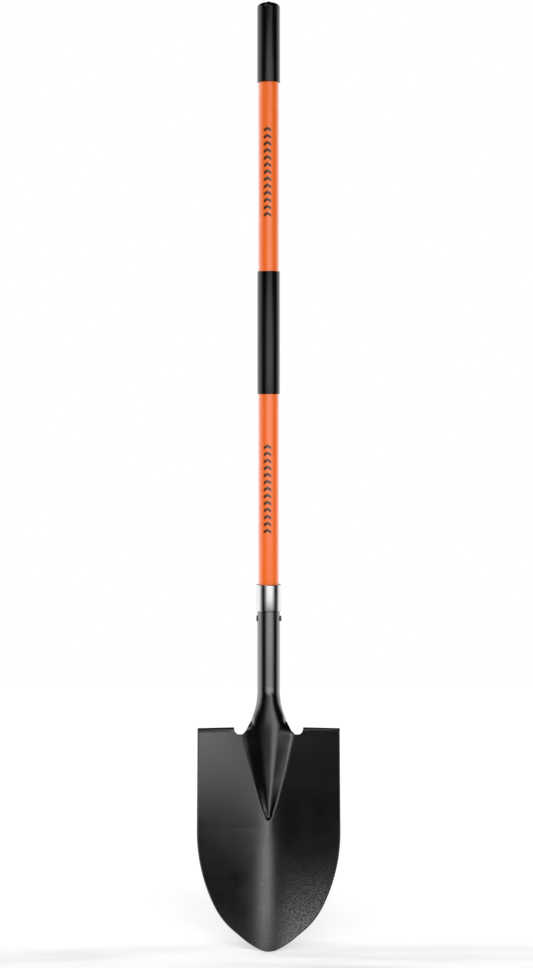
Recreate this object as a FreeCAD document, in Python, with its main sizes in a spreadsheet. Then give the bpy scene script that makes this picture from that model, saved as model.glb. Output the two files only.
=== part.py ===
import FreeCAD, Part
import math
import os

# Long-handled round point shovel, millimetres.
# Frame: the handle axis is vertical (+Z), the hollow face of the blade looks to -Y and the point
# of the blade touches the ground plane. The origin is on the ground plane below the middle of the
# overall box, so the handle axis stands at y = axis_y.
# The head is one sheet: a dished blade, a raised V (the frog) that runs up into the neck, and the
# neck rolled into a round socket. Two forward-turned steps close the top of the blade.

doc = FreeCAD.newDocument("round_point_shovel")
V = FreeCAD.Vector

SIZES = [
    # where the handle axis stands, measured from the origin
    ("axis_y", 52.6),
    # sheet and blade
    ("skin", 1.6),
    ("blade_half_w", 110.8),
    ("blade_top", 327.5),
    ("dish_across", 430.0),
    ("dish_along", 1600.0),
    ("lean_deg", 12.5),
    ("lean_z", 327.0),
    ("lean_y", -14.0),
    # blade outline: arcs and one straight, from the point upwards
    ("tip_r", 32.6),
    ("tip_deg", 24.6),
    ("flank_r", 126.0),
    ("flank_deg", 38.8),
    ("flank_line", 17.3),
    ("cheek_r", 117.0),
    ("cheek_deg", 62.2),
    # steps and notches
    ("step_depth", 20.0),
    ("step_bend_r", 3.6),
    ("step_corner_r", 5.0),
    ("notch_x", 44.4),
    ("notch_r", 9.0),
    ("notch_z", 325.0),
    ("web_top", 321.0),
    # socket, neck and frog
    ("socket_r", 17.65),
    ("socket_top", 547.0),
    ("neck_bend_z", 391.0),
    ("neck_bend_run", 16.0),
    ("neck_bend_slope", 0.173),
    ("frog_bend_z", 340.0),
    ("frog_bend_run", 24.0),
    ("frog_bend_slope", 0.03),
    ("nose_z", 193.5),
    ("nose_r", 5.0),
    ("frog_bottom", 184.0),
    ("frog_top", 316.0),
    # ferrule
    ("ferrule_bottom", 506.6),
    ("ferrule_top", 548.7),
    ("ferrule_r", 19.4),
    ("ferrule_bore", 17.72),
    ("ferrule_edge", 1.2),
    # handle tube, dowel and plug
    ("tube_r", 16.0),
    ("tube_bore", 13.0),
    ("tube_bottom", 405.0),
    ("tube_top", 1440.5),
    ("slip_bore", 16.05),
    ("dowel_r", 12.95),
    ("dowel_length", 190.0),
    ("plug_length", 28.0),
    ("plug_flange", 1.5),
    # rivet
    ("rivet_z", 495.3),
    ("shank_r", 3.0),
    ("shank_hole", 3.05),
    ("rivet_head_r", 4.6),
    ("rivet_head_out", 2.8),
    ("rivet_tail_r", 4.85),
    ("rivet_tail_out", 1.9),
    # grips
    ("grip_r", 17.35),
    ("grip_bottom", 845.6),
    ("grip_top", 1035.7),
    ("grip_edge", 0.6),
    ("cap_r", 17.6),
    ("cap_bottom", 1327.7),
    ("dome_z", 1443.0),
    ("dome_rise", 8.3),
    ("nub_r", 2.0),
    ("nub_top", 1452.5),
]

sheet = doc.addObject("Spreadsheet::Sheet", "Sizes")
for row, (alias, value) in enumerate(SIZES, start=1):
    sheet.set("A%d" % row, alias)
    sheet.set("B%d" % row, str(value))
    sheet.setAlias("B%d" % row, alias)
doc.recompute()


def size(alias):
    return float(sheet.get(alias))


# ------------------------------------------------------------ turned pieces, bound to the sheet

def cylinder(name, radius, low, high):
    """An upright cylinder on the axis; all three sizes are expressions."""
    item = doc.addObject("Part::Cylinder", name)
    item.setExpression("Radius", radius)
    item.setExpression("Height", "(%s) - (%s)" % (high, low))
    item.setExpression("Placement.Base.z", low)
    return item


def cut(name, base, tool):
    item = doc.addObject("Part::Cut", name)
    item.Base = base
    item.Tool = tool
    return item


def fuse(name, pieces):
    item = doc.addObject("Part::MultiFuse", name)
    item.Shapes = pieces
    return item


def cross_hole(name, radius):
    """A cylinder along X through the handle at rivet height."""
    item = doc.addObject("Part::Cylinder", name)
    item.setExpression("Radius", radius)
    item.setExpression("Height", "4 * Sizes.ferrule_r")
    item.Placement = FreeCAD.Placement(V(0, 0, 0), FreeCAD.Rotation(V(0, 1, 0), 90))
    item.setExpression("Placement.Base.x", "-2 * Sizes.ferrule_r")
    item.setExpression("Placement.Base.z", "Sizes.rivet_z")
    return item


def rounded(name, base, radius):
    """Round the two end circles of a cylinder."""
    doc.recompute()
    chosen = []
    for number, edge in enumerate(base.Shape.Edges, start=1):
        if edge.BoundBox.ZLength < 1e-6:
            chosen.append((number, radius, radius))
    item = doc.addObject("Part::Fillet", name)
    item.Base = base
    item.Edges = chosen
    return item


subparts = []


def finish(item, label):
    """Name a sub-part and stand it on the handle axis."""
    item.Label = label
    item.Placement = FreeCAD.Placement(V(0, size("axis_y"), 0), FreeCAD.Rotation())
    subparts.append(item)


# handle tube
tube_stock = cylinder("TubeStock", "Sizes.tube_r", "Sizes.tube_bottom", "Sizes.tube_top")
tube_bore = cylinder("TubeBore", "Sizes.tube_bore", "Sizes.tube_bottom", "Sizes.tube_top")
tube_open = cut("TubeOpen", tube_stock, tube_bore)
tube = cut("Tube", tube_open, cross_hole("TubeHole", "Sizes.shank_hole"))
finish(tube, "handle_tube")

# dowel in the lower end of the tube
dowel_stock = cylinder("DowelStock", "Sizes.dowel_r", "Sizes.tube_bottom",
                       "Sizes.tube_bottom + Sizes.dowel_length")
dowel = cut("Dowel", dowel_stock, cross_hole("DowelHole", "Sizes.shank_hole"))
finish(dowel, "handle_insert")

# plug in the upper end of the tube
plug_stem = cylinder("PlugStem", "Sizes.dowel_r", "Sizes.tube_top - Sizes.plug_length",
                     "Sizes.tube_top + Sizes.plug_flange / 2")
plug_flange = cylinder("PlugFlange", "Sizes.tube_r", "Sizes.tube_top + 0.05",
                       "Sizes.tube_top + Sizes.plug_flange")
plug = fuse("Plug", [plug_stem, plug_flange])
finish(plug, "tube_end_plug")

# middle grip
grip_stock = cylinder("GripStock", "Sizes.grip_r", "Sizes.grip_bottom", "Sizes.grip_top")
grip_round = rounded("GripRound", grip_stock, size("grip_edge"))
grip_bore = cylinder("GripBore", "Sizes.slip_bore", "Sizes.grip_bottom", "Sizes.grip_top")
grip = cut("Grip", grip_round, grip_bore)
finish(grip, "mid_grip")

# end cap grip: sleeve, shallow dome and a small moulding nub
cap_sleeve = cylinder("CapSleeve", "Sizes.cap_r", "Sizes.cap_bottom", "Sizes.dome_z")
cap_dome = doc.addObject("Part::Ellipsoid", "CapDome")
cap_dome.setExpression("Radius1", "Sizes.dome_rise")
cap_dome.setExpression("Radius2", "Sizes.cap_r")
cap_dome.setExpression("Placement.Base.z", "Sizes.dome_z")
cap_dome.Angle1 = 0
cap_nub = cylinder("CapNub", "Sizes.nub_r", "Sizes.dome_z", "Sizes.nub_top")
cap_bore = cylinder("CapBore", "Sizes.slip_bore", "Sizes.cap_bottom",
                    "Sizes.tube_top + Sizes.plug_flange + 0.05")
cap_body = fuse("CapBody", [cap_sleeve, cap_dome, cap_nub])
cap = cut("Cap", cap_body, cap_bore)
finish(cap, "end_cap_grip")

# ferrule: a ring over the mouth of the socket with its top turned in to the tube
ring_stock = cylinder("RingStock", "Sizes.ferrule_r", "Sizes.ferrule_bottom", "Sizes.ferrule_top")
ring_round = rounded("RingRound", ring_stock, size("ferrule_edge"))
ring_seat = cylinder("RingSeat", "Sizes.ferrule_bore", "Sizes.ferrule_bottom",
                     "Sizes.socket_top + 0.05")
ring_bore = cylinder("RingBore", "Sizes.slip_bore", "Sizes.ferrule_bottom", "Sizes.ferrule_top")
ferrule = cut("Ferrule", cut("RingOpen", ring_round, ring_seat), ring_bore)
finish(ferrule, "socket_ferrule")


# rivet: shank, domed head on the +X side, flatter closed tail on the -X side
def along_x(kind, name, start):
    item = doc.addObject(kind, name)
    item.Placement = FreeCAD.Placement(V(0, 0, 0), FreeCAD.Rotation(V(0, 1, 0), 90))
    item.setExpression("Placement.Base.x", start)
    item.setExpression("Placement.Base.z", "Sizes.rivet_z")
    return item


shank = along_x("Part::Cylinder", "Shank", "-(Sizes.socket_r + Sizes.rivet_tail_out / 2)")
shank.setExpression("Radius", "Sizes.shank_r")
shank.setExpression("Height", "2 * Sizes.socket_r + Sizes.rivet_tail_out / 2")
rivet_dome = along_x("Part::Ellipsoid", "RivetDome", "Sizes.socket_r - 0.8")
rivet_dome.setExpression("Radius1", "Sizes.rivet_head_out + 0.8")
rivet_dome.setExpression("Radius2", "Sizes.rivet_head_r")
rivet_tail = along_x("Part::Ellipsoid", "RivetTail", "-(Sizes.socket_r - 0.8)")
rivet_tail.setExpression("Radius1", "Sizes.rivet_tail_out + 0.8")
rivet_tail.setExpression("Radius2", "Sizes.rivet_tail_r")
under_head = cylinder("UnderHead", "Sizes.socket_r + 0.03", "Sizes.rivet_z - 20",
                      "Sizes.rivet_z + 20")
rivet_ends = cut("RivetEnds", fuse("RivetCaps", [rivet_dome, rivet_tail]), under_head)
rivet = fuse("Rivet", [shank, rivet_ends])
finish(rivet, "handle_rivet")


# ------------------------------------------------------------ the stamped head

HALF_TURN = 17.0


def swing_centre():
    """Centre, in the middle plane, of the long curve of the blade."""
    lean = math.radians(size("lean_deg"))
    reach = size("dish_along")
    return V(0, size("lean_y") - reach * math.cos(lean), size("lean_z") + reach * math.sin(lean))


def on_swing(radius, z):
    """Point of a circle round the swing centre at a height, on the side of the blade."""
    centre = swing_centre()
    return V(0, centre.y + math.sqrt(radius ** 2 - (z - centre.z) ** 2), z)


def arc(first, middle, last):
    return Part.Arc(first, middle, last).toShape()


def swing_arc(radius, z1, z2):
    return arc(on_swing(radius, z1), on_swing(radius, (z1 + z2) / 2), on_swing(radius, z2))


def turned_about_cup(edges):
    """Close a middle-plane profile and turn it about the upright axis of the blade's cup."""
    face = Part.Face(Part.Wire(edges))
    axis = V(0, size("lean_y") - size("dish_across"), 0)
    face.rotate(axis, V(0, 0, 1), -HALF_TURN)
    return face.revolve(axis, V(0, 0, 1), 2 * HALF_TURN)


def blade_and_steps():
    """Blade, bend and turned step as one bent sheet, wider and longer than its outline."""
    skin = size("skin")
    top = size("blade_top")
    bend = size("step_bend_r")
    front = size("dish_along")
    back = front + skin
    low = -8.0
    centre = swing_centre()
    hub = on_swing(back - bend, top - bend)
    out = (hub - centre).normalize()
    up = V(0, 0, 1)
    diagonal = (out + up).normalize()
    inner_r = bend - skin
    start_inner = hub + out * inner_r
    start_outer = hub + out * bend
    lip_front = on_swing(front, top).y - size("step_depth")
    lip_top = V(0, lip_front, top)
    lip_under = V(0, lip_front, top - skin)
    edges = [
        swing_arc(back, low, start_outer.z),
        arc(start_outer, hub + diagonal * bend, hub + up * bend),
        Part.makeLine(hub + up * bend, lip_top),
        Part.makeLine(lip_top, lip_under),
        Part.makeLine(lip_under, hub + up * inner_r),
        arc(hub + up * inner_r, hub + diagonal * inner_r, start_inner),
        swing_arc(front, start_inner.z, low),
        Part.makeLine(on_swing(front, low), on_swing(back, low)),
    ]
    return turned_about_cup(edges)


def behind_blade():
    """The space behind the blade, which trims the walls of the frog."""
    back = size("dish_along") + size("skin")
    high = size("frog_top")
    low = size("frog_bottom") - 20
    far = 60.0
    edges = [
        swing_arc(back, low, high),
        Part.makeLine(on_swing(back, high), on_swing(back, high) + V(0, far, 0)),
        Part.makeLine(on_swing(back, high) + V(0, far, 0), on_swing(back, low) + V(0, far, 0)),
        Part.makeLine(on_swing(back, low) + V(0, far, 0), on_swing(back, low)),
    ]
    return turned_about_cup(edges)


def blade_outline():
    """Front view of the blade: point, flanks, sides, top and notches, as a deep prism."""
    points = [V(0, 0, 0)]
    edges = []
    slope = 0.0

    def bend(radius, end_deg):
        nonlocal slope
        start = points[-1]
        end = math.radians(end_deg)

        def on_bend(angle):
            return start + V(radius * (math.sin(angle) - math.sin(slope)), 0,
                             radius * (math.cos(slope) - math.cos(angle)))
        points.append(on_bend(end))
        edges.append(arc(start, on_bend((slope + end) / 2), points[-1]))
        slope = end

    def straight(target):
        edges.append(Part.makeLine(points[-1], target))
        points.append(target)

    bend(size("tip_r"), size("tip_deg"))
    bend(size("flank_r"), size("flank_deg"))
    straight(points[-1] + V(math.cos(slope), 0, math.sin(slope)) * size("flank_line"))
    bend(size("cheek_r"), size("cheek_deg"))
    half_width = size("blade_half_w")
    bend((half_width - points[-1].x) / (1 - math.sin(slope)), 90.0)
    notch = V(size("notch_x"), 0, size("notch_z"))
    notch_r = size("notch_r")
    web = size("web_top")
    drop = notch.z - web
    straight(V(half_width, 0, size("blade_top")))
    straight(V(notch.x + notch_r, 0, size("blade_top")))
    straight(notch + V(notch_r, 0, 0))
    web_edge = V(notch.x - math.sqrt(notch_r ** 2 - drop ** 2), 0, web)
    edges.append(arc(points[-1], notch - V(0, 0, notch_r), web_edge))
    points.append(web_edge)
    straight(V(0, 0, web))
    straight(V(0, 0, 0))
    right = Part.Face(Part.Wire(edges)).extrude(V(0, 260, 0))
    right.translate(V(0, -180, 0))
    left = right.mirror(V(0, 0, 0), V(1, 0, 0))
    return right.fuse(left).removeSplitter()


def step_corner_tools():
    """What is cut off to round the front corners of the steps."""
    radius = size("step_corner_r")
    top = size("blade_top")
    cup_y = size("lean_y") - size("dish_across")
    swing = on_swing(size("dish_along"), top).y - size("step_depth") - cup_y
    tools = []
    for side in (1, -1):
        for x, inward in ((size("blade_half_w"), -1), (size("notch_x") + size("notch_r"), 1)):
            front_y = cup_y + math.sqrt(swing ** 2 - x ** 2)
            centre_x = x + inward * radius
            if inward > 0:
                front_y = cup_y + math.sqrt(swing ** 2 - centre_x ** 2)
            low_x, high_x = sorted((side * (x - inward), side * centre_x))
            block = Part.makeBox(high_x - low_x, radius + 3, 8, V(low_x, front_y - 3, top - 5))
            post = Part.makeCylinder(radius, 10, V(side * centre_x, front_y + radius, top - 6))
            tools.append(block.cut(post))
    return tools


def bent_forward(z, top, run, slope):
    """How far the crest has come forward at a height, for a bend that starts at top."""
    share = (top - z) / run
    if share >= 1:
        return slope * run * (share - 0.5)
    return slope * run * max(0.0, share) ** 3 * (1 - share / 2)


def crest_y(z):
    """y of the front of the socket, neck and frog; it falls back at the nose of the frog."""
    neck = bent_forward(z, size("neck_bend_z"), size("neck_bend_run"), size("neck_bend_slope"))
    frog = bent_forward(z, size("frog_bend_z"), size("frog_bend_run"), size("frog_bend_slope"))
    nose = max(0.0, size("nose_z") - z)
    return -size("socket_r") - neck - frog + nose ** 2 / (2 * size("nose_r"))


# height; radius and half angle of the crest; radius of the side and half angle of crest and side
# together; length of the flat wall (angles in degrees)
NECK = [
    (192.5, 2.7, 50.0, 2.7, 50.0, 18.0),
    (198.1, 3.6, 45.4, 3.6, 45.4, 18.0),
    (202.5, 5.0, 39.3, 5.0, 39.3, 18.0),
    (208.5, 7.5, 35.6, 7.5, 35.6, 18.0),
    (216.5, 10.5, 32.8, 10.5, 32.8, 20.0),
    (227.5, 14.5, 30.4, 14.5, 30.4, 22.0),
    (239.5, 19.0, 28.2, 19.0, 28.2, 24.0),
    (252.5, 25.0, 26.0, 25.0, 26.0, 26.0),
    (272.5, 32.0, 23.1, 32.0, 23.1, 28.0),
    (292.5, 39.0, 20.4, 36.0, 20.6, 30.0),
    (316.0, 48.0, 17.5, 18.0, 18.5, 31.0),
    (320.5, 49.0, 18.3, 18.0, 19.3, 22.4),
    (325.2, 49.0, 20.0, 16.0, 22.5, 18.0),
    (332.0, 47.0, 25.0, 14.0, 36.0, 10.4),
    (337.8, 41.0, 31.0, 9.0, 60.0, 5.4),
    (347.0, 33.5, 37.5, 9.0, 98.0, 5.0),
    (355.9, 26.1, 42.0, 11.0, 122.0, 8.0),
    (365.7, 20.7, 47.0, 14.0, 134.0, 7.5),
    (381.3, 17.65, 60.0, 17.65, 148.0, 4.5),
    (396.0, 17.65, 60.0, 17.65, 162.0, 2.0),
    (411.0, 17.65, 60.0, 17.65, 170.0, 1.1),
    (426.0, 17.65, 60.0, 17.65, 173.5, 0.75),
    (441.0, 17.65, 60.0, 17.65, 174.5, 0.6),
    (500.0, 17.65, 60.0, 17.65, 174.5, 0.6),
    (547.0, 17.65, 60.0, 17.65, 174.5, 0.6),
]


def smooth_between(z, column):
    """A smooth curve through one column of the table, with no overshoot; level below its foot."""
    rows = NECK
    z = max(z, rows[0][0])
    slopes = []
    for low, high in zip(rows, rows[1:]):
        slopes.append((high[column] - low[column]) / (high[0] - low[0]))
    tangents = [slopes[0]]
    for before, after in zip(slopes, slopes[1:]):
        same = before * after > 0
        tangents.append(2 * before * after / (before + after) if same else 0.0)
    tangents.append(slopes[-1])
    for i in range(len(rows) - 1):
        if z <= rows[i + 1][0]:
            break
    width = rows[i + 1][0] - rows[i][0]
    s = (z - rows[i][0]) / width
    return ((1 + 2 * s) * (1 - s) ** 2 * rows[i][column] + s * (1 - s) ** 2 * width * tangents[i]
            + s * s * (3 - 2 * s) * rows[i + 1][column] + s * s * (s - 1) * width * tangents[i + 1])


def strip_point(z, share, inset):
    """A point of the rolled strip; share runs -1..1 across it, inset is measured inwards."""
    crest, first, side, full, wall = (smooth_between(z, column) for column in range(1, 6))
    first = math.radians(first)
    full = math.radians(full)
    along = abs(share) * (crest * first + side * (full - first) + wall)
    on_crest = min(along, crest * first)
    on_side = min(along - on_crest, side * (full - first))
    on_wall = along - on_crest - on_side
    turn = on_crest / crest
    x = crest * math.sin(turn)
    y = crest_y(z) + crest * (1 - math.cos(turn))
    if on_side > 0:
        start = turn
        turn += on_side / side
        x += side * (math.sin(turn) - math.sin(start))
        y += side * (math.cos(start) - math.cos(turn))
    x += on_wall * math.cos(turn) - inset * math.sin(turn)
    y += on_wall * math.sin(turn) + inset * math.cos(turn)
    return V(math.copysign(x, share), y, z)


STATIONS = [184.0, 187.0, 190.0, 193.0, 196.0, 200.0, 205.0, 212.0, 222.0, 233.0, 246.0, 262.0,
            280.0, 297.0, 308.0, 316.0, 321.0, 326.0, 331.0, 336.0, 342.0, 348.0, 354.0, 361.0,
            368.0, 375.0, 383.0, 391.0, 399.0, 407.0, 415.0, 423.0, 431.0, 445.0, 465.0, 490.0,
            515.0, 532.0, 547.0]
ACROSS = 49


def strip_face(inset):
    """One face of the rolled strip, through points worked out at every station."""
    grid = []
    for z in STATIONS:
        grid.append([strip_point(z, -1 + 2 * i / (ACROSS - 1), inset) for i in range(ACROSS)])
    surface = Part.BSplineSurface()
    surface.interpolate(grid)
    return surface


def strip_sheet():
    """Frog, neck and socket as one rolled strip of sheet."""
    outer = strip_face(0.0)
    inner = strip_face(size("skin"))
    faces = [outer.toShape(), inner.toShape()]
    for side in (0.0, 1.0):
        rims = [(outer.uIso(side), inner.uIso(side)), (outer.vIso(side), inner.vIso(side))]
        for first, second in rims:
            wires = [Part.Wire(first.toShape()), Part.Wire(second.toShape())]
            faces.append(Part.makeLoft(wires, False, True).Faces[0])
    shell = Part.makeShell(faces)
    shell.sewShape()
    solid = Part.Solid(shell)
    if solid.Volume < 0:
        solid.reverse()
    return solid


def hollow_of_frog():
    """Everything behind the inner face of the frog, up to the foot of the neck."""
    inner = strip_face(size("skin")).toShape()
    bottom = size("frog_bottom") - 1
    foot = Part.makeBox(120, 120, size("notch_z") - bottom, V(-60, -60, bottom))
    return inner.common(foot).extrude(V(0, 80, 0))


def stamped_head():
    blade = blade_and_steps()
    blade = blade.common(blade_outline())
    blade = blade.cut(step_corner_tools())
    blade = blade.cut(hollow_of_frog())
    strip = strip_sheet().cut(behind_blade())
    head = blade.fuse(strip)
    hole = Part.makeCylinder(size("shank_hole"), 60, V(-30, 0, size("rivet_z")), V(1, 0, 0))
    return max(head.cut(hole).Solids, key=lambda solid: solid.Volume)


head = doc.addObject("Part::Feature", "Head")
head.Shape = stamped_head()
finish(head, "shovel_head")

doc.recompute()
for item in doc.Objects:
    if "Invalid" in item.State or "Error" in item.State:
        raise RuntimeError(item.Name + " did not build")

os.makedirs("parts", exist_ok=True)
for item in subparts:
    shape = item.Shape
    if shape.isNull() or not shape.isValid():
        raise RuntimeError(item.Label + " is not a valid solid")
    shape.exportStep("parts/%s.step" % item.Label)
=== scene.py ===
"""Looks for the long-handled round point shovel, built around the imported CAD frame."""

import math

import bmesh
import bpy
import numpy as np
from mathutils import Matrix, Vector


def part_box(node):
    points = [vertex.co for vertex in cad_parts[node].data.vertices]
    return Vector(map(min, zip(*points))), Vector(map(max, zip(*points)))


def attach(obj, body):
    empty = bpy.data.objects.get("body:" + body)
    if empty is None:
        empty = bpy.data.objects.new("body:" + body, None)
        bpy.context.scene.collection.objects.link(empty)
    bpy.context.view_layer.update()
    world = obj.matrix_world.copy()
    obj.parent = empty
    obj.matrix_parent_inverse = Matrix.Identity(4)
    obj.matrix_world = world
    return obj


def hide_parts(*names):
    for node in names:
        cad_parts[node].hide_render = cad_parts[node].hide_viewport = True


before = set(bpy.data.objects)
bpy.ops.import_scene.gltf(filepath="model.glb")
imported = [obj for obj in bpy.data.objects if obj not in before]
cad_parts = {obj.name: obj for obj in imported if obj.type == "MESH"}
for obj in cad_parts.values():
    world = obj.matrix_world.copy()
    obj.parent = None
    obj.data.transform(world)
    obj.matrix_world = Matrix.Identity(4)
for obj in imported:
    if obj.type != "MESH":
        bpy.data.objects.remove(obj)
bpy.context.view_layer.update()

# The pieces' sizes are in millimetres; the materials, the floor and the camera are in metres.
# Heights are above the point of the blade; x and y are from the handle axis, and -y is forwards.
MM = 0.001
AXIS_Y = (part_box("handle_tube")[0].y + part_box("handle_tube")[1].y) / 2


# ---------------------------------------------------------------- mesh helpers

def piece_from(name, vertices, faces, smooth=True):
    mesh = bpy.data.meshes.new(name)
    mesh.from_pydata([tuple(v) for v in vertices], [], faces)
    mesh.update()
    if smooth:
        mesh.shade_smooth()
    piece = bpy.data.objects.new(name, mesh)
    bpy.context.scene.collection.objects.link(piece)
    return piece


def tidy_mesh(piece, merge=1e-7, shortest=1e-9):
    """Merge the doubled points of a turned mesh, drop faces with no area, face all outwards."""
    work = bmesh.new()
    work.from_mesh(piece.data)
    bmesh.ops.remove_doubles(work, verts=work.verts, dist=merge)
    bmesh.ops.dissolve_degenerate(work, edges=work.edges, dist=shortest)
    bmesh.ops.recalc_face_normals(work, faces=work.faces)
    work.to_mesh(piece.data)
    work.free()
    piece.data.update()


# ---------------------------------------------------------------- the pressed head

SKIN = 1.6                      # thickness of the sheet
HALF_W = 110.8                  # half width of the blade
TOP = 327.5                     # height of the steps
LEAN = math.radians(12.5)       # lean of the blade's centre line from upright ...
LEAN_Y, LEAN_Z = -14.0, 327.0   # ... where it passes this place
SWING = 1600.0                  # radius of the centre line, seen from the side
SWING_Z = LEAN_Z + SWING * math.sin(LEAN)
SWING_Y = LEAN_Y - SWING * math.cos(LEAN)
CUP = 430.0                     # radius of the dish across the blade, at the height LEAN_Z
NOTCH_X, NOTCH_R, NOTCH_Z = 44.4, 9.0, 325.0
SPLIT_Z = NOTCH_Z - NOTCH_R     # bottom of the notches, where neck and wings part
BEND_R = 3.6                    # outer radius of the bend between blade and step
LIP = 20.0                      # how far a step reaches forwards
SOCKET_TOP = 547.0
SOCKET_R = 17.65                # radius of the socket's outer face
EDGE = 0.45                     # how far the rounded edge stands out of the sheet's flat part
INSET = 0.87                    # how far inside the blade's outline its front face stops

VALLEY_SHARE = 0.55             # the dish is this much valley, and plain cup for the rest
VALLEY_SOFT, VALLEY_WIDENS = 9.0, 26.0
VALLEY_Z = 176.0                # below this height the valley's floor gets wider
FROG_LOW = 171.0                # the frog's nose is above this height
CREASE, CREASE_Z, CREASE_RUN = 1.1, 188.0, 130.0    # the crease's fillet grows up the frog
LEDGE_RUN = 6.0                 # the ledge at the foot of the neck runs out over this height
LEDGE_END = NOTCH_Z + 0.5       # and has ended here
CORNER_R = 4.6                  # front corners of the steps

# rows of the mesh
CLOSE_ROWS = (0.1, 0.35, 0.8, 1.4, 2.1, 3.0, 4.1)   # heights above the bottom of the notches
FOOT_ROWS = (5.3, 6.7, 8.2, 9.8)                    # the same, further up the neck
BEND_ROWS, LIP_ROWS, LIP_CROWDING = 8, 14, 1.6
INNER_COLUMNS, OUTER_COLUMNS = 58, 30

# height; crest radius and half angle; side radius and full half angle; length of the flat wall.
# The half angles from 198 to 316 mm are the result of a numerical search for given widths of the
# frog; the other columns, and the rows above, were given.
NECK = [
    (172.0, 2.7, 50.0, 2.7, 50.0, 18.0), (192.5, 2.7, 50.0, 2.7, 50.0, 18.0),
    (198.1, 3.6, 45.4, 3.6, 45.4, 18.0), (202.5, 5.0, 39.3, 5.0, 39.3, 18.0),
    (208.5, 7.5, 35.6, 7.5, 35.6, 18.0), (216.5, 10.5, 32.8, 10.5, 32.8, 20.0),
    (227.5, 14.5, 30.4, 14.5, 30.4, 22.0), (239.5, 19.0, 28.2, 19.0, 28.2, 24.0),
    (252.5, 25.0, 26.0, 25.0, 26.0, 26.0), (272.5, 32.0, 23.1, 32.0, 23.1, 28.0),
    (292.5, 39.0, 20.4, 36.0, 20.6, 30.0), (316.0, 48.0, 17.5, 18.0, 18.5, 31.0),
    (320.5, 49.0, 18.3, 18.0, 19.3, 22.4), (325.2, 49.0, 20.0, 16.0, 22.5, 18.0),
    (332.0, 47.0, 25.0, 14.0, 36.0, 10.4), (337.8, 41.0, 31.0, 9.0, 60.0, 5.4),
    (347.0, 33.5, 37.5, 9.0, 98.0, 5.0), (355.9, 26.1, 42.0, 11.0, 122.0, 8.0),
    (365.7, 20.7, 47.0, 14.0, 134.0, 7.5), (381.3, SOCKET_R, 60.0, SOCKET_R, 148.0, 4.5),
    (396.0, SOCKET_R, 60.0, SOCKET_R, 162.0, 2.0), (411.0, SOCKET_R, 60.0, SOCKET_R, 170.0, 1.1),
    (426.0, SOCKET_R, 60.0, SOCKET_R, 173.5, 0.75), (441.0, SOCKET_R, 60.0, SOCKET_R, 174.5, 0.6),
    (500.0, SOCKET_R, 60.0, SOCKET_R, 174.5, 0.6), (547.0, SOCKET_R, 60.0, SOCKET_R, 174.5, 0.6),
]
# height where a bend of the crest line starts, its length, and the slope it adds (forwards)
CREST_BENDS = [(391.0, 16.0, 0.173), (340.0, 24.0, 0.030)]
NOSE_Z, NOSE_ROUND = 193.5, 10.0


def monotone(z, column):
    """A column of the table at a height, on a smooth curve that adds no waves between rows."""
    rows = NECK
    slopes = [(b[column] - a[column]) / (b[0] - a[0]) for a, b in zip(rows, rows[1:])]
    tangents = [slopes[0]]
    for p, q in zip(slopes, slopes[1:]):
        tangents.append(2 * p * q / (p + q) if p * q > 0 else 0.0)
    tangents.append(slopes[-1])
    z = min(max(z, rows[0][0]), rows[-1][0])
    i = 0
    while i < len(rows) - 2 and z > rows[i + 1][0]:
        i += 1
    width = rows[i + 1][0] - rows[i][0]
    s = (z - rows[i][0]) / width
    return ((1 + 2 * s) * (1 - s) ** 2 * rows[i][column]
            + s * (1 - s) ** 2 * width * tangents[i]
            + s * s * (3 - 2 * s) * rows[i + 1][column]
            + s * s * (s - 1) * width * tangents[i + 1])


def crest_y(z):
    """Front of the crest: upright, waisted at the neck, then leaning out down to its nose."""
    y = -SOCKET_R + max(0.0, NOSE_Z - z) ** 2 / NOSE_ROUND
    for top, run, slope in CREST_BENDS:
        share = (top - z) / run
        if share > 1:
            y -= slope * run * (share - 0.5)
        elif share > 0:
            y -= slope * run * share ** 3 * (1 - share / 2)
    return y


def centre_y(z):
    """Front face of the blade on its centre line."""
    return SWING_Y + math.sqrt(SWING ** 2 - (z - SWING_Z) ** 2)


def cup_radius(z):
    """Radius of the dish across the blade; it gets smaller towards the point."""
    return CUP - (LEAN_Y - centre_y(z))


def dish_y(x, z):
    """Front face of the dished blade away from the frog."""
    radius = cup_radius(z)
    round_cup = radius - math.sqrt(radius ** 2 - x * x)
    # the wings are flatter than a plain cup and meet in a soft valley below the frog
    soft = VALLEY_SOFT + VALLEY_WIDENS * min(1.0, max(0.0, (VALLEY_Z - z) / VALLEY_Z)) ** 0.8
    edge_rise = radius - math.sqrt(radius ** 2 - HALF_W * HALF_W)
    rise = edge_rise / (math.sqrt(HALF_W ** 2 + soft ** 2) - soft)
    valley = rise * (math.sqrt(x * x + soft ** 2) - soft)
    return centre_y(z) - ((1 - VALLEY_SHARE) * round_cup + VALLEY_SHARE * valley)


def section(z):
    """Sizes of the strip's section at a height, angles in radians."""
    crest, first, side, full, wall = (monotone(z, k) for k in range(1, 6))
    return crest, math.radians(first), side, math.radians(full), wall


def frog_y(x, z):
    """Front face of the frog's rounded V at a place in the front view."""
    crest, first, side, full, _ = section(z)
    x = abs(x)
    x1 = crest * math.sin(first)
    if x <= x1:
        return crest_y(z) + crest - math.sqrt(crest * crest - x * x)
    depth = crest * (1 - math.cos(first))
    x2 = x1 + side * (math.sin(full) - math.sin(first))
    if x <= x2:
        s = math.sin(first) + (x - x1) / side
        return crest_y(z) + depth + side * (math.cos(first) - math.sqrt(1 - s * s))
    depth += side * (math.cos(first) - math.cos(full))
    return crest_y(z) + depth + (x - x2) * math.tan(full)


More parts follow.
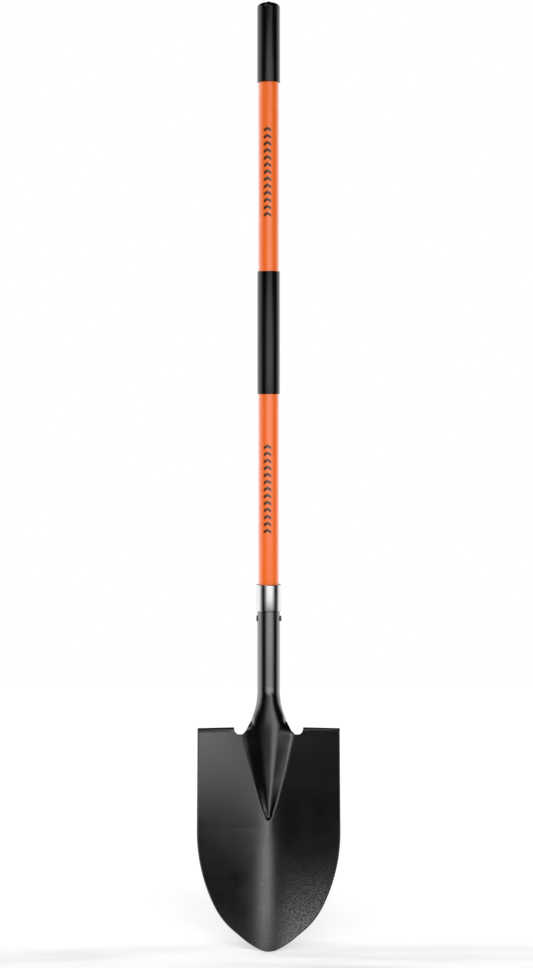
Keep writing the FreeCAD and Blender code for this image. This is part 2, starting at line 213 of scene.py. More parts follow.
def front_y(x, z):
    """Blade and frog together, with a small fillet along the crease."""
    a = dish_y(x, z)
    if z < FROG_LOW:
        return a
    b = frog_y(x, z)
    blend = CREASE + CREASE * (z - CREASE_Z) / CREASE_RUN
    h = max(blend - abs(a - b), 0.0) / blend
    return min(a, b) - h * h * blend * 0.25


def blade_half_width(z):
    """Half width of the sheet's flat part in the front view, from the point upwards."""
    # radius and slope in degrees at the end of each arc; without a radius, a straight's length.
    # A last arc runs out to the full width.
    arcs = [(32.6, 24.6), (126.0, 38.8), (None, 17.3), (117.0, 62.2)]
    x, low, slope = 0.0, INSET, 0.0
    for radius, end in arcs:
        if radius is None:
            nx = x + end * math.cos(slope)
            nz = low + end * math.sin(slope)
            if z <= nz:
                return x + (z - low) / math.tan(slope)
            x, low = nx, nz
            continue
        radius -= INSET
        end = math.radians(end)
        nz = low + radius * (math.cos(slope) - math.cos(end))
        if z <= nz:
            c = min(1.0, max(-1.0, math.cos(slope) - (z - low) / radius))
            return x + radius * (math.sin(math.acos(c)) - math.sin(slope))
        x += radius * (math.sin(end) - math.sin(slope))
        low, slope = nz, end
    radius = (HALF_W - INSET - x) / (1 - math.sin(slope))
    c = math.cos(slope) - (z - low) / radius
    if c <= 0:
        return HALF_W - INSET
    return x + radius * (math.sqrt(1 - c * c) - math.sin(slope))


def row_heights():
    """Heights of the blade rows: very close at the point, 1.3 mm apart above."""
    heights = [INSET]
    step, growth, widest = 0.02, 1.35, 1.3
    while heights[-1] + step < SPLIT_Z:
        heights.append(heights[-1] + step)
        step = min(step * growth, widest)
    heights[-1] = SPLIT_Z
    return heights


def column_shares():
    """Shares of the half width for the columns of one half, with one at the notch bottom."""
    inner = NOTCH_X / (HALF_W - INSET)
    shares = [inner * i / INNER_COLUMNS for i in range(INNER_COLUMNS + 1)]
    shares += [inner + (1 - inner) * i / OUTER_COLUMNS for i in range(1, OUTER_COLUMNS + 1)]
    return shares


def section_profile(z, steps=500):
    """Points (x, y) of the sheet's front face across one half at a height above the notch."""
    crest, first, side, full, wall = section(z)
    wall -= EDGE
    runs = (crest * first, side * (full - first), wall)
    points = []
    for i in range(steps + 1):
        along = sum(runs) * i / steps
        a = min(along, runs[0]) / crest
        x = crest * math.sin(a)
        y = crest * (1 - math.cos(a))
        along -= runs[0]
        if along > 0:
            b = first + min(along, runs[1]) / side
            x += side * (math.sin(b) - math.sin(first))
            y += side * (math.cos(first) - math.cos(b))
            along -= runs[1]
            if along > 0:
                x += along * math.cos(full)
                y += along * math.sin(full)
        points.append((x, crest_y(z) + y))
    return points


def lengths_along(points):
    """Length from the first point of a polyline to each of its points."""
    steps = np.linalg.norm(np.diff(points, axis=0), axis=1)
    return np.concatenate([[0], np.cumsum(steps)])


def walk(points, shares):
    """Place points at shares of the length along a polyline."""
    xy = np.array(points)
    lengths = lengths_along(xy)
    want = np.array(shares) * lengths[-1]
    return np.stack([np.interp(want, lengths, xy[:, 0]), np.interp(want, lengths, xy[:, 1])], 1)


def notch_reach(z):
    """Half width of a notch at a height, measured to where its rounded edge begins."""
    drop = max(0.0, NOTCH_Z - z)
    return math.sqrt(max((NOTCH_R + EDGE) ** 2 - drop ** 2, 0.0))


def neck_section(z):
    """Front face of the neck at a height, from the crest out to the free edge."""
    own = section_profile(z)
    if z >= LEDGE_END:
        return own
    # between the bottom of the notch and the neck's own edge the ledge of the blade runs out
    ledge = NOTCH_X - notch_reach(z)
    share = min(1.0, max(0.0, (z - SPLIT_Z) / LEDGE_RUN))
    share = share * share * (3 - 2 * share)
    reach = ledge + (own[-1][0] - ledge) * share
    steps = 400
    points = []
    for i in range(steps + 1):
        x = reach * i / steps
        points.append((x, front_y(x, z) + (frog_y(x, z) - front_y(x, z)) * share))
    return points


class Sheet:
    """Vertices and faces of an open face; places are given in millimetres."""

    def __init__(self):
        self.vertices = []
        self.faces = []

    def add(self, x, y, z):
        self.vertices.append((x * MM, AXIS_Y + y * MM, z * MM))
        return len(self.vertices) - 1

    def join(self, lower, upper, mirrored=False):
        """Quads between two rows of vertices."""
        for k in range(len(upper) - 1):
            quad = (lower[k], lower[k + 1], upper[k + 1], upper[k])
            self.faces.append(quad[::-1] if mirrored else quad)


def add_blade(sheet, columns):
    """Rows from the point up to the bottom of the notches; gives the last of them."""
    tip = sheet.add(0.0, front_y(0.0, INSET), INSET)
    rows = []
    for z in row_heights()[1:]:
        half = blade_half_width(z)
        places = [share * half for share in columns]
        rows.append([sheet.add(x, front_y(x, z), z) for x in places])
    for left, right in zip(rows[0], rows[0][1:]):
        sheet.faces.append((tip, right, left))
    for lower, upper in zip(rows, rows[1:]):
        sheet.join(lower, upper)
    return rows[-1]


def neck_heights():
    """Heights of the neck's rows: close at its foot, wider apart along the straight socket."""
    straight_z, close, wide, last_gap = 430, 1.8, 4.0, 5.0
    heights = [SPLIT_Z + rise for rise in CLOSE_ROWS + FOOT_ROWS]
    z = heights[-1]
    while z < SOCKET_TOP - last_gap:
        z += close if z < straight_z else wide
        heights.append(z)
    return heights + [SOCKET_TOP - EDGE]


def add_neck(sheet, base, shares):
    """Neck and socket, on the blade's middle columns; base is their row of the blade."""
    flat = HALF_W - INSET
    foot = np.array([(share * flat, front_y(share * flat, SPLIT_Z)) for share in shares])
    lengths = lengths_along(foot)
    along = lengths / lengths[-1]
    last = len(shares) - 1
    previous = base
    for z in neck_heights():
        half_row = walk(neck_section(z), along)
        row = [sheet.add(-half_row[k][0], half_row[k][1], z) for k in range(last, 0, -1)]
        row += [sheet.add(half_row[k][0], half_row[k][1], z) for k in range(last + 1)]
        sheet.join(previous, row)
        previous = row


def add_wing(sheet, side, base, shares):
    """One side of the blade beside its notch: up the face, over the bend, along the step."""
    hub_z = TOP - BEND_R
    hub_y = SWING_Y + math.sqrt((SWING + SKIN - BEND_R) ** 2 - (hub_z - SWING_Z) ** 2)
    tilt = math.atan2(hub_z - SWING_Z, hub_y - SWING_Y)
    inner_r = BEND_R - SKIN
    bend_start = hub_z + inner_r * math.sin(tilt)
    lip_end = centre_y(TOP) - LIP + EDGE
    stations = [("face", SPLIT_Z + rise) for rise in CLOSE_ROWS]
    stations.append(("face", bend_start))
    stations += [("bend", k / BEND_ROWS) for k in range(1, BEND_ROWS + 1)]
    stations += [("lip", 1 - (1 - k / LIP_ROWS) ** LIP_CROWDING) for k in range(1, LIP_ROWS + 1)]
    part = [(share - shares[0]) / (shares[-1] - shares[0]) for share in shares]
    previous = base
    for kind, value in stations:
        if kind == "face":
            z = value
        elif kind == "bend":
            turn = tilt + (math.pi / 2 - tilt) * value
            z = hub_z + inner_r * math.sin(turn)
        else:
            z = TOP - SKIN
        inside = NOTCH_X + notch_reach(z)
        row = []
        for p in part:
            x = inside + (HALF_W - INSET - inside) * p
            sag = dish_y(x, bend_start) - centre_y(bend_start)
            if kind == "face":
                y = dish_y(x, z)
            elif kind == "bend":
                y = hub_y + inner_r * math.cos(turn) + sag
            else:
                y = hub_y + (lip_end - hub_y) * value + sag
                x = corner_round(x, y - (lip_end + sag))
            row.append(sheet.add(side * x, y, z))
        sheet.join(previous, row, mirrored=side < 0)
        previous = row


def build_face():
    """The whole front face of the head as one open grid of quads."""
    shares = column_shares()
    columns = [-share for share in reversed(shares[1:])] + shares
    middle = len(shares) - 1
    low, high = middle - INNER_COLUMNS, middle + INNER_COLUMNS
    sheet = Sheet()
    top_row = add_blade(sheet, columns)
    add_neck(sheet, top_row[low:high + 1], shares[:INNER_COLUMNS + 1])
    add_wing(sheet, -1, top_row[low::-1], shares[INNER_COLUMNS:])
    add_wing(sheet, 1, top_row[high:], shares[INNER_COLUMNS:])
    return sheet.vertices, sheet.faces


def corner_round(x, ahead, radius=CORNER_R):
    """Pull the ends of a step in so that its front corners are round."""
    if ahead >= radius:
        return x
    pull = radius - math.sqrt(max(radius ** 2 - (radius - ahead) ** 2, 0.0))
    inner, outer = NOTCH_X + NOTCH_R + EDGE, HALF_W - EDGE
    middle = (inner + outer) / 2
    half = (outer - inner) / 2
    return middle + (x - middle) * (half - pull) / half


def thicken(name, vertices, faces, skin, edge, steps=6):
    """Give an open face a back, and a rounded sheared edge all round."""
    front = bmesh.new()
    made = [front.verts.new(v) for v in vertices]
    for face in faces:
        front.faces.new([made[i] for i in face])
    merge = 2e-6
    bmesh.ops.remove_doubles(front, verts=front.verts, dist=merge)
    front.normal_update()
    front.verts.ensure_lookup_table()
    front.verts.index_update()
    points = np.array([v.co for v in front.verts])
    normals = np.array([v.normal for v in front.verts])
    total = len(points)
    all_points = [tuple(p) for p in points]
    all_points += [tuple(p) for p in points - normals * skin]
    all_faces = []
    for face in front.faces:
        ring = [v.index for v in face.verts]
        all_faces.append(tuple(ring))
        all_faces.append(tuple(i + total for i in reversed(ring)))
    # follow the free edge and sweep a rounded end from the front face to the back face
    rim = {}
    for e in front.edges:
        if len(e.link_faces) == 1:
            a, b = (v.index for v in e.verts)
            ring = [v.index for v in e.link_faces[0].verts]
            i = ring.index(a)
            first, second = (a, b) if ring[(i + 1) % len(ring)] == b else (b, a)
            rim[first] = second
    before = {b: a for a, b in rim.items()}
    rings = {}
    for v in rim:
        ahead = points[rim[v]] - points[v]
        behind = points[v] - points[before[v]]
        along = ahead / np.linalg.norm(ahead) + behind / np.linalg.norm(behind)
        outward = np.cross(along, normals[v])
        outward /= np.linalg.norm(outward)
        ids = [v]
        for k in range(1, steps):
            a = math.pi * (0.5 - k / steps)
            place = (points[v] - normals[v] * skin / 2 + outward * edge * math.cos(a)
                     + normals[v] * skin / 2 * math.sin(a))
            ids.append(len(all_points))
            all_points.append(tuple(place))
        ids.append(v + total)
        rings[v] = ids
    for v, w in rim.items():
        for k in range(steps):
            all_faces.append((rings[w][k], rings[v][k], rings[v][k + 1], rings[w][k + 1]))
    front.free()
    return piece_from(name, all_points, all_faces)


head = thicken("head_pressed", *build_face(), skin=SKIN * MM, edge=EDGE * MM)


# ---------------------------------------------------------------- turned pieces

def spin(name, profile, axis="z", centre_z=0.0, segments=160):
    """Turn a closed profile of (radius, station), in millimetres, about the handle axis or
    about a line along X through the handle at a height."""
    vertices = []
    for radius, station in profile:
        for k in range(segments):
            a = 2 * math.pi * k / segments
            u, v = radius * math.cos(a), radius * math.sin(a)
            if axis == "z":
                vertices.append((u * MM, AXIS_Y + v * MM, station * MM))
            else:
                vertices.append((station * MM, AXIS_Y + u * MM, (centre_z + v) * MM))
    faces = []
    for i in range(len(profile)):
        j = (i + 1) % len(profile)
        for k in range(segments):
            n = (k + 1) % segments
            faces.append((i * segments + k, i * segments + n, j * segments + n, j * segments + k))
    piece = piece_from(name, vertices, faces)
    tidy_mesh(piece)
    return piece


def quarter(cx, cz, radius, start, end, steps=6):
    """Points of a round in the profile plane, angles in degrees."""
    points = []
    for i in range(steps + 1):
        a = math.radians(start + (end - start) * i / steps)
        points.append((cx + radius * math.cos(a), cz + radius * math.sin(a)))
    return points


def sleeve(name, bore, outer, low, high, edge):
    """A plain sleeve with rounded outer ends."""
    profile = [(bore, low)]
    profile += quarter(outer - edge, low + edge, edge, -90, 0)
    profile += quarter(outer - edge, high - edge, edge, 0, 90)
    profile += [(bore, high)]
    return spin(name, profile)


SLEEVE_BORE = 16.05             # what slides on the tube, which is 16 mm in radius
tube = sleeve("tube_skin", bore=13.0, outer=16.0, low=405.0, high=1440.5, edge=0.25)
grip = sleeve("grip_sleeve", SLEEVE_BORE, outer=17.35, low=845.6, high=1035.7, edge=0.6)


def cap_profile():
    """Sleeve, shallow dome and the small nub left by the mould."""
    outer, low, edge = 17.6, 1327.7, 0.55
    dome, rise, step = 1443.0, 8.3, 4.0
    nub, nub_foot, nub_round, nub_top, floor_z = 2.0, 2.6, 0.5, 1452.5, 1442.05
    profile = [(SLEEVE_BORE, low)] + quarter(outer - edge, low + edge, edge, -90, 0)
    profile += [(outer * math.cos(a), dome + rise * math.sin(a))
                for a in (math.radians(step * k) for k in range(0, 21))]
    foot = dome + rise * math.sqrt(1 - (nub_foot / outer) ** 2)
    profile += [(nub_foot, foot), (nub + 0.2, foot + 0.12), (nub, foot + nub_round)]
    profile += quarter(nub - nub_round, nub_top - nub_round, nub_round, 0, 90)
    return profile + [(0.0, nub_top), (0.0, floor_z), (SLEEVE_BORE, floor_z)]


cap = spin("cap_sleeve", cap_profile())


def ferrule_profile():
    """Ring with rolled ends; its top turns in over the mouth of the socket."""
    low, high, outer, seat = 506.6, 548.7, 19.39, 17.72
    round_r, bevel, mouth_bevel, seat_top = 1.2, 0.2, 0.3, 547.05
    profile = [(seat, low + bevel), (seat + bevel, low)]
    profile += quarter(outer - round_r, low + round_r, round_r, -90, 0, 8)
    profile += quarter(outer - round_r, high - round_r, round_r, 0, 90, 8)
    profile += [(SLEEVE_BORE + mouth_bevel, high), (SLEEVE_BORE, high - mouth_bevel)]
    return profile + [(SLEEVE_BORE, seat_top), (seat, seat_top)]


ferrule = spin("ferrule_band", ferrule_profile(), segments=224)


def rivet_profile():
    """Shank with a domed head on one side and a lower, wider closed end on the other."""
    skin_x, under_x, brim_x, bevel = 17.68, 16.6, 17.0, 0.3
    head_r, head_out, head_brim = 4.6, 2.8, 0.3
    tail_r, tail_out, tail_brim = 4.85, 1.9, 0.25
    shank = 3.0
    turns = [math.radians(9 * k) for k in range(10)]
    profile = [(shank, -under_x)]
    profile += [(tail_r - bevel, -under_x), (tail_r, -brim_x), (tail_r, -skin_x - tail_brim)]
    profile += [(tail_r * math.cos(a),
                 -skin_x - tail_brim - (tail_out - tail_brim) * math.sin(a) ** 0.8)
                for a in turns[1:]]
    profile += [(0.0, -skin_x - tail_out), (0.0, skin_x + head_out)]
    profile += [(head_r * math.cos(a), skin_x + head_brim + (head_out - head_brim) * math.sin(a))
                for a in reversed(turns)]
    return profile + [(head_r, brim_x), (head_r - bevel, under_x), (shank, under_x)]


rivet = spin("rivet_formed", rivet_profile(), axis="x", centre_z=495.3, segments=72)


# ---------------------------------------------------------------- node helpers

class Nodes:
    """Adds nodes to a tree; inputs are values, or outputs of nodes added before."""

    def __init__(self, tree):
        self.tree = tree

    def add(self, kind, out=0, inputs=None, **settings):
        node = self.tree.nodes.new(kind)
        for key, value in settings.items():
            setattr(node, key, value)
        for key, value in (inputs or {}).items():
            if isinstance(value, bpy.types.NodeSocket):
                self.tree.links.new(value, node.inputs[key])
            else:
                node.inputs[key].default_value = value
        return node.outputs[out]

    def math(self, operation, a, b=0.0, c=0.0, clamp=False):
        return self.add("ShaderNodeMath", inputs={0: a, 1: b, 2: c}, operation=operation,
                        use_clamp=clamp)

    def ramp(self, value, low, high, to_low=0.0, to_high=1.0, kind="SMOOTHSTEP"):
        return self.add("ShaderNodeMapRange", inputs={"Value": value, "From Min": low,
                        "From Max": high, "To Min": to_low, "To Max": to_high},
                        interpolation_type=kind)

    def mix(self, share, a, b):
        """Mix two colours."""
        node = self.tree.nodes.new("ShaderNodeMix")
        node.data_type = "RGBA"
        for key, value in (("Factor_Float", share), ("A_Color", a), ("B_Color", b)):
            socket = next(s for s in node.inputs if s.identifier == key)
            if isinstance(value, bpy.types.NodeSocket):
                self.tree.links.new(value, socket)
            else:
                socket.default_value = value
        return next(s for s in node.outputs if s.identifier == "Result_Color")

    def noise(self, vector, scale, detail=2.0, roughness=0.5, distortion=0.0):
        return self.add("ShaderNodeTexNoise", inputs={"Vector": vector, "Scale": scale,
                        "Detail": detail, "Roughness": roughness, "Distortion": distortion})

    def stretched(self, vector, x, y, z):
        return self.add("ShaderNodeMapping", inputs={"Vector": vector, "Scale": (x, y, z)})

    def bump(self, height, strength, distance, normal=None):
        inputs = {"Height": height, "Strength": strength, "Distance": distance}
        if normal is not None:
            inputs["Normal"] = normal
        return self.add("ShaderNodeBump", inputs=inputs)


def new_material(name, **values):
    material = bpy.data.materials.new(name)
    material.use_nodes = True
    nodes = Nodes(material.node_tree)
    shader = material.node_tree.nodes["Principled BSDF"]
    for key, value in values.items():
        shader.inputs[key.replace("_", " ")].default_value = value
    place = nodes.add("ShaderNodeTexCoord", out="Object")
    return material, nodes, shader, place


def grey(v):
    return (v, v, v, 1.0)


def link(nodes, shader, **sockets):
    for key, socket in sockets.items():
        nodes.tree.links.new(socket, shader.inputs[key.replace("_", " ")])


def coat_material(name="powder_coat"):
    """Black powder coat: orange peel, a fine speckle, faint dulled patches and a grain in its
    brightness, laid on by place and no relief; the grain is the coat's own, and its strength by
    place is a painted glint."""
    gloss = 0.80
    material, nodes, shader, place = new_material(name, IOR=1.9, Specular_IOR_Level=gloss)
    peel = nodes.noise(place, 430.0, 2.0, 0.75)
    speck = nodes.noise(place, 1300.0, 2.0, 0.6)
    patch = nodes.noise(place, 22.0, 4.0, 0.6)
    dust = nodes.ramp(nodes.noise(place, 900.0, 1.0), 0.62, 0.72)
    colour = nodes.mix(patch, grey(0.0012), grey(0.0026))
    colour = nodes.mix(nodes.math("MULTIPLY", dust, 0.3), colour, grey(0.015))
    rough = nodes.ramp(patch, 0.3, 0.7, 0.12, 0.16)
    rough = nodes.math("ADD", rough, nodes.math("MULTIPLY", dust, 0.06))
    normal = nodes.bump(peel, 0.6, 0.00010)
    normal = nodes.bump(speck, 0.25, 0.00005, normal)
    # painted glint: the grain in the gloss is strongest low down on the right half of the blade,
    # where the light glints on the coat, faint on the rest of it and fainter still on the steps,
    # neck and socket
    split = nodes.add("ShaderNodeSeparateXYZ", inputs={0: place})
    x, z = split.node.outputs[0], split.node.outputs[2]
    right = nodes.ramp(x, 0.004, 0.034)
    painted_glint_mask = nodes.math("MULTIPLY", right, nodes.ramp(z, 0.08, 0.19, 0.62, 0.0))
    painted_glint_mask = nodes.math("MAXIMUM", painted_glint_mask, nodes.ramp(z, 0.18, 0.30, 0.13, 0.03))
    swing = 0.72
    grain = nodes.noise(place, 520.0, 1.0, 0.7)
    grain = nodes.ramp(grain, 0.36, 0.64, -swing, swing, kind="LINEAR")
    level = nodes.math("MULTIPLY_ADD", nodes.math("MULTIPLY", grain, painted_glint_mask), 1.0, gloss)
    link(nodes, shader, Base_Color=colour, Roughness=rough, Normal=normal, Specular_IOR_Level=level)
    return material


def tube_material():
    """Orange pulled glass fibre with a clear skin, and two printed rows of chevrons."""
    material, nodes, shader, place = new_material("glass_fibre_tube", IOR=1.5)
    shader.inputs["Coat Weight"].default_value = 1.0
    shader.inputs["Coat Roughness"].default_value = 0.16
    strand = nodes.noise(nodes.stretched(place, 900.0, 900.0, 5.0), 1.0, 3.0, 0.6)
    cloud = nodes.noise(nodes.stretched(place, 60.0, 60.0, 14.0), 1.0, 3.0, 0.5)
    deep, bright = (0.90, 0.140, 0.010, 1.0), (0.98, 0.172, 0.016, 1.0)
    colour = nodes.mix(nodes.ramp(strand, 0.35, 0.65), deep, bright)
    colour = nodes.mix(nodes.ramp(cloud, 0.3, 0.7, 0.0, 0.35), colour, (0.92, 0.17, 0.03, 1.0))
    # printed chevrons, pointing up the handle, in two places
    split = nodes.add("ShaderNodeSeparateXYZ", inputs={0: place})
    x, y, z = (split.node.outputs[i] for i in range(3))
    left_by, half_width, pitch, slant, bar_share = 0.0018, 0.0058, 0.0109, 0.62, 0.42
    off = nodes.math("ABSOLUTE", nodes.math("ADD", x, left_by))
    inside = nodes.math("LESS_THAN", off, half_width)
    front = nodes.math("LESS_THAN", y, AXIS_Y)
    slid = nodes.math("ADD", z, nodes.math("MULTIPLY", off, slant))
    share = nodes.math("FRACT", nodes.math("DIVIDE", slid, pitch))
    bars = nodes.math("LESS_THAN", share, bar_share)
    rows = [nodes.math("MULTIPLY", nodes.math("GREATER_THAN", slid, low),
                       nodes.math("LESS_THAN", slid, high))
            for low, high in ((1.1227, 1.2590), (0.6322, 0.7685))]
    zone = nodes.math("ADD", *rows, clamp=True)
    mark = nodes.math("MULTIPLY", nodes.math("MULTIPLY", bars, zone),
                      nodes.math("MULTIPLY", inside, front))
    worn = nodes.ramp(nodes.noise(place, 1500.0, 3.0, 0.7), 0.28, 0.36, 0.75, 1.0)
    colour = nodes.mix(nodes.math("MULTIPLY", mark, worn), colour, (0.06, 0.022, 0.009, 1.0))
    rough = nodes.ramp(cloud, 0.3, 0.7, 0.24, 0.33)
    normal = nodes.bump(strand, 0.12, 0.00006)
    link(nodes, shader, Base_Color=colour, Roughness=rough, Normal=normal)
    return material


def vinyl_material(name, seed):
    """Dipped black vinyl, satin, with a fine pebble and rubbed patches."""
    material, nodes, shader, place = new_material(name, IOR=1.5)
    moved = nodes.add("ShaderNodeVectorMath", inputs={0: place, 1: (seed, seed, seed)},
                      operation="ADD")
    pebble = nodes.noise(moved, 1100.0, 2.0, 0.55)
    sag = nodes.noise(nodes.stretched(moved, 90.0, 90.0, 30.0), 1.0, 2.0)
    rub = nodes.noise(moved, 35.0, 4.0, 0.6)
    colour = nodes.mix(rub, grey(0.0012), grey(0.0028))
    rough = nodes.ramp(rub, 0.3, 0.7, 0.16, 0.21)
    normal = nodes.bump(pebble, 0.3, 0.00005)
    normal = nodes.bump(sag, 0.2, 0.00008, normal)
    link(nodes, shader, Base_Color=colour, Roughness=rough, Normal=normal)
    return material


def steel_material():
    """Plated steel ring, brushed round, with faint smears."""
    material, nodes, shader, place = new_material("plated_steel", Metallic=1.0)
    lines = nodes.noise(nodes.stretched(place, 12.0, 12.0, 5200.0), 1.0, 3.0, 0.7)
    smear = nodes.noise(place, 60.0, 4.0, 0.6)
    colour = nodes.mix(smear, (0.50, 0.50, 0.505, 1.0), (0.60, 0.60, 0.60, 1.0))
    rough = nodes.math("ADD", nodes.ramp(smear, 0.3, 0.7, 0.12, 0.2),
                       nodes.math("MULTIPLY", lines, 0.06))
    normal = nodes.bump(lines, 0.15, 0.00003)
    link(nodes, shader, Base_Color=colour, Roughness=rough, Normal=normal)
    return material


def wood_material():
    """Hardwood dowel: rings about a pith beside the axis, long grain and pores."""
    material, nodes, shader, place = new_material("dowel_wood", IOR=1.45)
    pith = (-0.006, -AXIS_Y - 0.021, 0.0)
    shift = nodes.add("ShaderNodeVectorMath", inputs={0: place, 1: pith}, operation="ADD")
    wobble = nodes.noise(nodes.stretched(place, 40.0, 40.0, 6.0), 1.0, 3.0)
    split = nodes.add("ShaderNodeSeparateXYZ", inputs={0: shift})
    x, y = split.node.outputs[0], split.node.outputs[1]
    reach = nodes.math("SQRT", nodes.math("ADD", nodes.math("MULTIPLY", x, x),
                                          nodes.math("MULTIPLY", y, y)))
    bent = nodes.math("ADD", nodes.math("MULTIPLY", reach, 560.0),
                      nodes.math("MULTIPLY", wobble, 1.4))
    ring = nodes.ramp(nodes.math("FRACT", bent), 0.0, 1.0)
    pores = nodes.noise(nodes.stretched(place, 2200.0, 2200.0, 60.0), 1.0, 2.0)
    colour = nodes.mix(ring, (0.56, 0.37, 0.19, 1.0), (0.36, 0.20, 0.09, 1.0))
    colour = nodes.mix(nodes.ramp(pores, 0.58, 0.68, 0.0, 0.6), colour, (0.16, 0.08, 0.035, 1.0))
    rough = nodes.ramp(pores, 0.3, 0.7, 0.55, 0.75)
    normal = nodes.bump(pores, 0.3, 0.0001)
    link(nodes, shader, Base_Color=colour, Roughness=rough, Normal=normal)
    return material


def plastic_material():
    """Grey moulded plug."""
    material, nodes, shader, place = new_material("plug_moulding", IOR=1.46)
    grain = nodes.noise(place, 800.0, 3.0, 0.6)
    cloud = nodes.noise(place, 40.0, 3.0)
    colour = nodes.mix(cloud, grey(0.03), grey(0.05))
    rough = nodes.ramp(grain, 0.3, 0.7, 0.4, 0.55)
    normal = nodes.bump(grain, 0.2, 0.00005)
    link(nodes, shader, Base_Color=colour, Roughness=rough, Normal=normal)
    return material


def dress(piece, material):
    piece.data.materials.clear()
    piece.data.materials.append(material)


dress(head, coat_material())
dress(rivet, coat_material("rivet_coat_paint"))
dress(tube, tube_material())
dress(grip, vinyl_material("grip_sleeve_vinyl", 0.0))
dress(cap, vinyl_material("cap_sleeve_vinyl", 3.0))
dress(ferrule, steel_material())
dress(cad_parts["handle_insert"], wood_material())
dress(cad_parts["tube_end_plug"], plastic_material())

for piece, node, name in (
        (head, "shovel_head", "head_coat"), (ferrule, "socket_ferrule", "ferrule_steel"),
        (tube, "handle_tube", "tube_glass_fibre"), (rivet, "handle_rivet", "rivet_coat"),
        (grip, "mid_grip", "grip_vinyl"), (cap, "end_cap_grip", "cap_vinyl")):
    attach(piece, "root")
    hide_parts(node)


# ---------------------------------------------------------------- floor, light and camera

scene = bpy.context.scene


def make_floor():
    """A pale floor, a wide round sheet under the point of the blade. It glows, and the grey
    streaks in front are painted shade, laid on by place: they aren't cast by the shovel."""
    radius, count, glow = 3.2, 96, 0.62
    rim = []
    for k in range(count):
        a = 2 * math.pi * k / count
        rim.append((radius * math.cos(a), radius * math.sin(a), 0.0))
    floor = piece_from("floor", rim, [tuple(range(count))], smooth=False)
    material, nodes, shader, place = new_material("pale_floor", Roughness=0.9)
    shader.inputs["Base Color"].default_value = (0.86, 0.86, 0.86, 1.0)
    shader.inputs["Specular IOR Level"].default_value = 0.0
    shader.inputs["Emission Color"].default_value = (1.0, 1.0, 1.0, 1.0)
    split = nodes.add("ShaderNodeSeparateXYZ", inputs={0: place})
    # painted shade: the glow is dimmed in grey streaks towards the front of the floor
    near = nodes.ramp(split.node.outputs[1], 0.06, -0.12, 0.0, 1.0)
    shade_streak = nodes.noise(nodes.stretched(place, 2.2, 11.0, 1.0), 1.0, 2.0)
    shade = nodes.math("MULTIPLY", near, nodes.ramp(shade_streak, 0.35, 0.65, 0.08, 0.26))
    link(nodes, shader, Emission_Strength=nodes.math("SUBTRACT", glow, shade))
    dress(floor, material)
    floor.visible_glossy = False


make_floor()

BASE = 0.004                    # strength of the world between the lights
# each soft light: azimuth and elevation of its middle, half sizes, half softness, brightness.
# Azimuth 0 is towards the viewer, 90 to the right; all in degrees. They are fitted to the look
# of the front view, and the negative one takes light away behind the object.
LIGHTS = [
    ((11, -2.0), (34, 6.6), (22, 2.0), 1.85),
    ((8, 7.55), (24, 2.45), (10, 1.4), 1.70),
    ((20, 11.7), (17, 1.5), (12, 1.0), 0.42),
    ((26, 15.5), (12, 2.6), (8, 1.5), 1.15),
    ((19, 20.5), (19, 2.8), (12, 1.8), 0.58),
    ((-170, 0), (91, 30), (24, 14), 1.60),
    ((180, 0), (18, 60), (6, 10), -1.60),
    ((3, 29), (6.5, 7), (5, 3), 1.15),
    ((-34, 52), (22, 19), (9, 5), 1.6),
    ((24, 55), (18, 20), (8, 6), 0.30),
    ((-20, 16.5), (14, 5), (6, 3), 0.06),
]


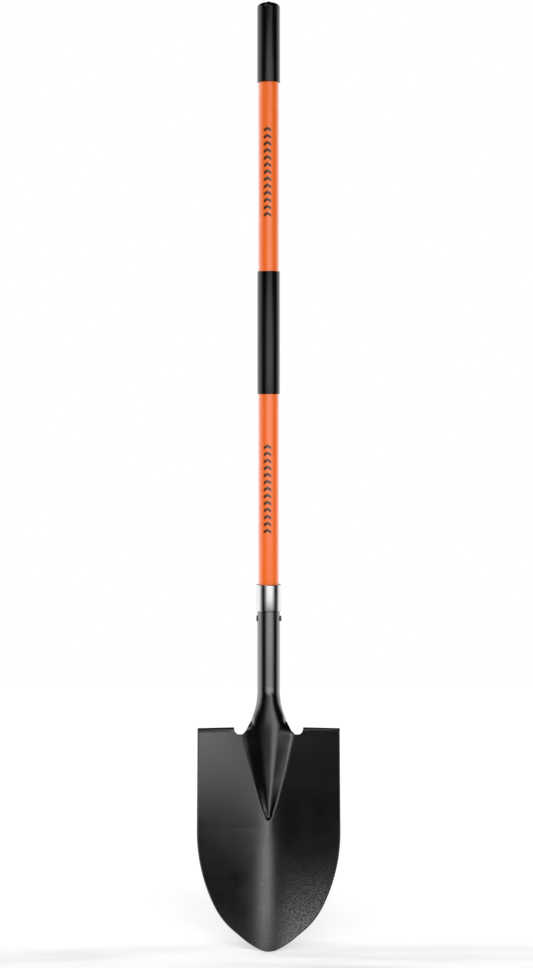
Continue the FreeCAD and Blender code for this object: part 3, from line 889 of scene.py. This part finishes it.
def light_world():
    """The soft lights, as patches of the world. The camera sees plain white instead of them."""
    world = bpy.data.worlds.new("studio")
    scene.world = world
    world.use_nodes = True
    tree = world.node_tree
    tree.nodes.clear()
    nodes = Nodes(tree)
    way = nodes.add("ShaderNodeTexCoord", out="Generated")
    split = nodes.add("ShaderNodeSeparateXYZ", inputs={0: way})
    x, y, z = (split.node.outputs[i] for i in range(3))
    degrees = 180 / math.pi
    azimuth = nodes.math("ARCTAN2", x, nodes.math("MULTIPLY", y, -1.0))
    azimuth = nodes.math("MULTIPLY", azimuth, degrees)
    elevation = nodes.math("MULTIPLY", nodes.math("ARCSINE", z), degrees)
    total = BASE
    for (az, el), (half_az, half_el), (soft_az, soft_el), power in LIGHTS:
        turn = nodes.math("WRAP", nodes.math("SUBTRACT", azimuth, az), 180.0, -180.0)
        turn = nodes.math("ABSOLUTE", turn)
        across = nodes.ramp(turn, half_az - soft_az, half_az + soft_az, 1.0, 0.0)
        rise = nodes.math("ABSOLUTE", nodes.math("SUBTRACT", elevation, el))
        along = nodes.ramp(rise, half_el - soft_el, half_el + soft_el, 1.0, 0.0)
        total = nodes.math("MULTIPLY_ADD", nodes.math("MULTIPLY", across, along), power, total)
    total = nodes.math("MAXIMUM", total, BASE)
    seen = nodes.add("ShaderNodeLightPath", out="Is Camera Ray")
    lit = nodes.add("ShaderNodeBackground", inputs={"Color": grey(1.0), "Strength": total})
    plain = nodes.add("ShaderNodeBackground", inputs={"Color": grey(1.0), "Strength": 1.0})
    shown = nodes.add("ShaderNodeMixShader", inputs={0: seen, 1: lit, 2: plain})
    output = tree.nodes.new("ShaderNodeOutputWorld")
    tree.links.new(shown, output.inputs["Surface"])


light_world()


def fill_light():
    """A broad soft lamp in front that lifts the colours without showing in the gloss."""
    tilt, turn, spread = 62, 10, 50
    lamp = bpy.data.lights.new("fill", "SUN")
    lamp.energy = 1.3
    lamp.angle = math.radians(spread)
    holder = bpy.data.objects.new("fill", lamp)
    scene.collection.objects.link(holder)
    holder.rotation_euler = (math.radians(tilt), 0.0, math.radians(turn))
    holder.visible_glossy = False


fill_light()

CAMERA_X, CAMERA_AHEAD, CAMERA_Z = -0.0033, 3.572, 0.8354
CAMERA_DOWN = 2.084             # degrees below level

lens = bpy.data.cameras.new("camera")
lens.lens = 85.26
lens.sensor_width = 36.0
lens.clip_start, lens.clip_end = 0.05, 40.0
camera = bpy.data.objects.new("camera", lens)
scene.collection.objects.link(camera)
camera.location = (CAMERA_X, AXIS_Y - CAMERA_AHEAD, CAMERA_Z)
camera.rotation_euler = (math.radians(90 - CAMERA_DOWN), 0.0, 0.0)
scene.camera = camera
scene.view_settings.view_transform = "Standard"
scene.view_settings.look = "None"
